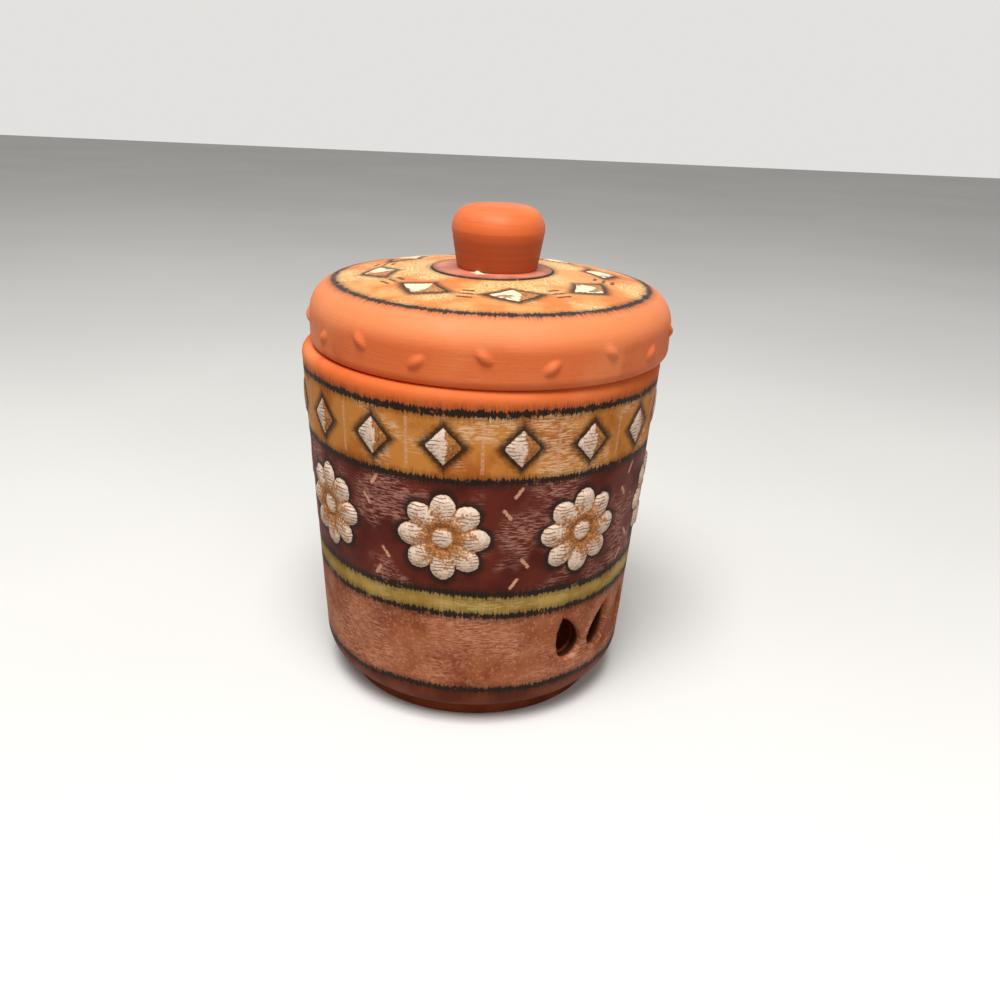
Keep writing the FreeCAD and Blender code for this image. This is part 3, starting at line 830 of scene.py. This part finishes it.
for vertex in knob_shell.verts:
    out = Vector((vertex.co.x - KNOB_AXIS * MM, vertex.co.y, 0))
    if vertex.co.z / MM > KNOB_BASE + 0.3 and out.length / MM > 3:
        rings = math.sin(vertex.co.z / MM * 2.4) * 0.02
        vertex.co += out.normalized() * (noise.noise(vertex.co * 60) * 0.22 + rings) * MM
knob = finished("clay_knob", knob_shell)
knob_finish = Finish("bare terracotta", KNOB_AXIS)
colour = bare_clay(knob_finish)
turning = knob_finish.grain(500, (0.1, 0.1, 2.0), detail=3)
colour = knob_finish.over(colour, TERRACOTTA_DEEP, knob_finish.ramp(turning, 0.5, 0.75, 0, 0.4))
# Painted shade: the knob is painted darker below its flare, where its rolled top shades it
neck_painted_shade = knob_finish.ramp(knob_finish.height, KNOB_BASE + 8.5, KNOB_BASE + 14.5, 0.8, 0.0)
colour = knob_finish.over(colour, shown(150, 62, 24), neck_painted_shade)
knob_finish.surfaced(colour, knob_finish.ramp(turning, 0.3, 0.7, 0.45, 0.6), 0.35)
knob_finish.bumped(knob_finish.grain(1000, (1, 1, 2.0), detail=5, roughness=0.6), 0.08)
knob.data.materials.append(knob_finish.material)
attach(knob, "lid")
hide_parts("knob")

# Camera
# The photograph's view, from a little above the lid and tilted slightly to one side.

CAMERA_PLACE = (0, -0.33797, 0.20756)
CAMERA_PAN = math.radians(1.49)
CAMERA_PITCH = math.radians(23.07)
CAMERA_ROLL = math.radians(2.6)
CAMERA_PIXELS = 968.2
IMAGE_PIXELS = 1000
SENSOR = 36.0

lens = bpy.data.cameras.new("camera")
lens.sensor_width = SENSOR
lens.lens = CAMERA_PIXELS / IMAGE_PIXELS * SENSOR
lens.clip_start = 0.01
camera = bpy.data.objects.new("camera", lens)
bpy.context.scene.collection.objects.link(camera)
ahead = Vector((math.sin(CAMERA_PAN) * math.cos(CAMERA_PITCH),
                math.cos(CAMERA_PAN) * math.cos(CAMERA_PITCH), -math.sin(CAMERA_PITCH)))
level_right = Vector((math.cos(CAMERA_PAN), -math.sin(CAMERA_PAN), 0))
level_up = level_right.cross(ahead)
right = level_right * math.cos(CAMERA_ROLL) + level_up * math.sin(CAMERA_ROLL)
up = level_up * math.cos(CAMERA_ROLL) - level_right * math.sin(CAMERA_ROLL)
camera.matrix_world = Matrix.Translation(CAMERA_PLACE) @ Matrix((right, up, -ahead)).transposed().to_4x4()
bpy.context.scene.camera = camera

# Floor and light
# A plain pale floor and surround, one large soft light high up in front and a weak one low down.
# Only the camera's, mirrored and see-through rays find the floor and surround at full paleness.

FLOOR_REACH = 3.0
LAMP_TARGET = (0, 0, 0.08)
LAMP_SIZE = 0.6
OVERHEAD_PLACE = (-0.09, -0.46, 1.15)
OVERHEAD_WATTS = 15.8
FRONT_PLACE = (0.45, -1.0, 0.45)
FRONT_WATTS = 1.6
SURROUND_LIGHT = 0.32
SURROUND_SEEN = 0.85
SURROUND_COLOUR = (0.90, 0.89, 0.87, 1)

floor_shape = bmesh.new()
bmesh.ops.create_grid(floor_shape, x_segments=1, y_segments=1, size=FLOOR_REACH)
floor = finished("floor", floor_shape)
floor_finish = Finish("pale floor")
floor_grain = floor_finish.ramp(floor_finish.grain(3, detail=2), 0.3, 0.7)
pale = floor_finish.over(shown(232, 230, 226), shown(238, 236, 232), floor_grain)
path = floor_finish.add("ShaderNodeLightPath")
seen = floor_finish.math("MAXIMUM", path.outputs["Is Camera Ray"], path.outputs["Is Glossy Ray"])
seen = floor_finish.math("MAXIMUM", seen, path.outputs["Is Transmission Ray"])
floor_colour = floor_finish.over(shown(146, 132, 116), pale, seen)
floor_finish.surfaced(floor_colour, 0.9)
floor.data.materials.append(floor_finish.material)


def soft_light(name, place, watts):
    """A square softbox that looks at the middle of the keeper."""
    panel = bpy.data.lights.new(name, "AREA")
    panel.size = LAMP_SIZE
    panel.energy = watts
    lamp = bpy.data.objects.new(name, panel)
    aim = (Vector(LAMP_TARGET) - Vector(place)).to_track_quat("-Z", "Y")
    lamp.matrix_world = Matrix.Translation(place) @ aim.to_matrix().to_4x4()
    bpy.context.scene.collection.objects.link(lamp)


soft_light("overhead", OVERHEAD_PLACE, OVERHEAD_WATTS)
soft_light("front", FRONT_PLACE, FRONT_WATTS)
world = bpy.data.worlds.new("surround")
world.use_nodes = True
surround = world.node_tree.nodes["Background"]
surround.inputs["Color"].default_value = SURROUND_COLOUR
path = world.node_tree.nodes.new("ShaderNodeLightPath")
strength = world.node_tree.nodes.new("ShaderNodeMapRange")
strength.inputs["To Min"].default_value = SURROUND_LIGHT
strength.inputs["To Max"].default_value = SURROUND_SEEN
seen = path.outputs["Is Camera Ray"]
for ray in ("Is Glossy Ray", "Is Transmission Ray"):
    either = world.node_tree.nodes.new("ShaderNodeMath")
    either.operation = "MAXIMUM"
    world.node_tree.links.new(seen, either.inputs[0])
    world.node_tree.links.new(path.outputs[ray], either.inputs[1])
    seen = either.outputs[0]
world.node_tree.links.new(seen, strength.inputs["Value"])
world.node_tree.links.new(strength.outputs[0], surround.inputs["Strength"])
bpy.context.scene.world = world
bpy.context.scene.view_settings.view_transform = "Standard"
